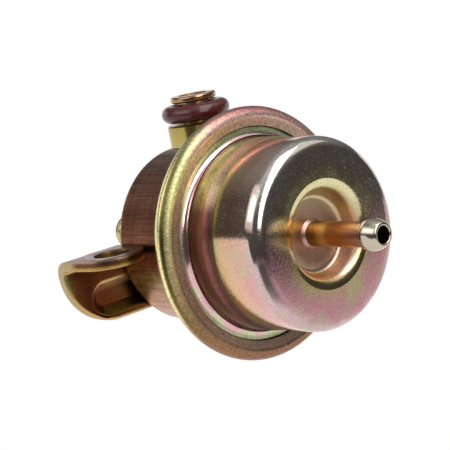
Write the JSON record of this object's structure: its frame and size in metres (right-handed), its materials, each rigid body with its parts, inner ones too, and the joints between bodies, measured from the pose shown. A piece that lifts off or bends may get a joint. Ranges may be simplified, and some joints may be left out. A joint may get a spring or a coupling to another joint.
{
  "type": "fuel pressure regulator",
  "caption": "Crimped round fuel pressure regulator with a vacuum nipple in a sunk front, an O-ring inlet on its side, a return tube behind and a folded mounting bracket.",
  "frame": {"origin": "on the inlet port's axis, at the shoulder under its O-ring", "axes": "+Z out of the inlet port, +X along the main axis towards the vacuum nipple, bracket on the -Y side"},
  "size_m": [0.0789, 0.0592, 0.0557],
  "materials": {
    "chromated_cup": "yellow-chromated steel, satin on the rolled rim, brown on the cup",
    "chromated_chamber": "yellow-chromated steel, bright and smooth, pink and green sheen",
    "chromated_nipple": "yellow-chromated turned steel, copper brown",
    "chromated_port": "yellow-chromated turned steel, olive gold",
    "chromated_bracket": "yellow-chromated pressed steel, brown",
    "chromated_tube": "yellow-chromated turned steel, pale gold",
    "seal_rubber": "maroon fluorocarbon rubber, glossy with oil",
    "diaphragm_rubber": "black rubber over fabric, matt",
    "strainer": "white nylon gauze and ring",
    "plated_discs": "zinc-plated pressed steel",
    "holder_steel": "bright turned steel",
    "hard_steel": "hardened and ground steel",
    "spring_wire": "drawn spring steel"
  },
  "bodies": {
    "housing": {"lower_housing": "chromated_cup", "upper_housing": "chromated_chamber", "vacuum_nipple": "chromated_nipple", "inlet_port": "chromated_port", "inlet_o_ring": "seal_rubber", "inlet_screen": "strainer", "mounting_bracket": "chromated_bracket", "return_tube": "chromated_tube", "valve_seat": "hard_steel", "diaphragm": "diaphragm_rubber", "main_spring": "spring_wire"},
    "valve": {"spring_plate": "plated_discs", "backing_plate": "plated_discs", "valve_holder": "holder_steel", "valve_plate": "hard_steel", "valve_ball": "hard_steel", "ball_spring": "spring_wire", "retaining_ring": "spring_wire"}
  },
  "joints": [
    {"name": "valve_lift", "type": "slide", "parent": "housing", "child": "valve", "axis": [1, 0, 0], "range_m": [0, 0.0008], "stiffness_N_per_m": 6200, "deforming": ["diaphragm", "main_spring"]}
  ]
}
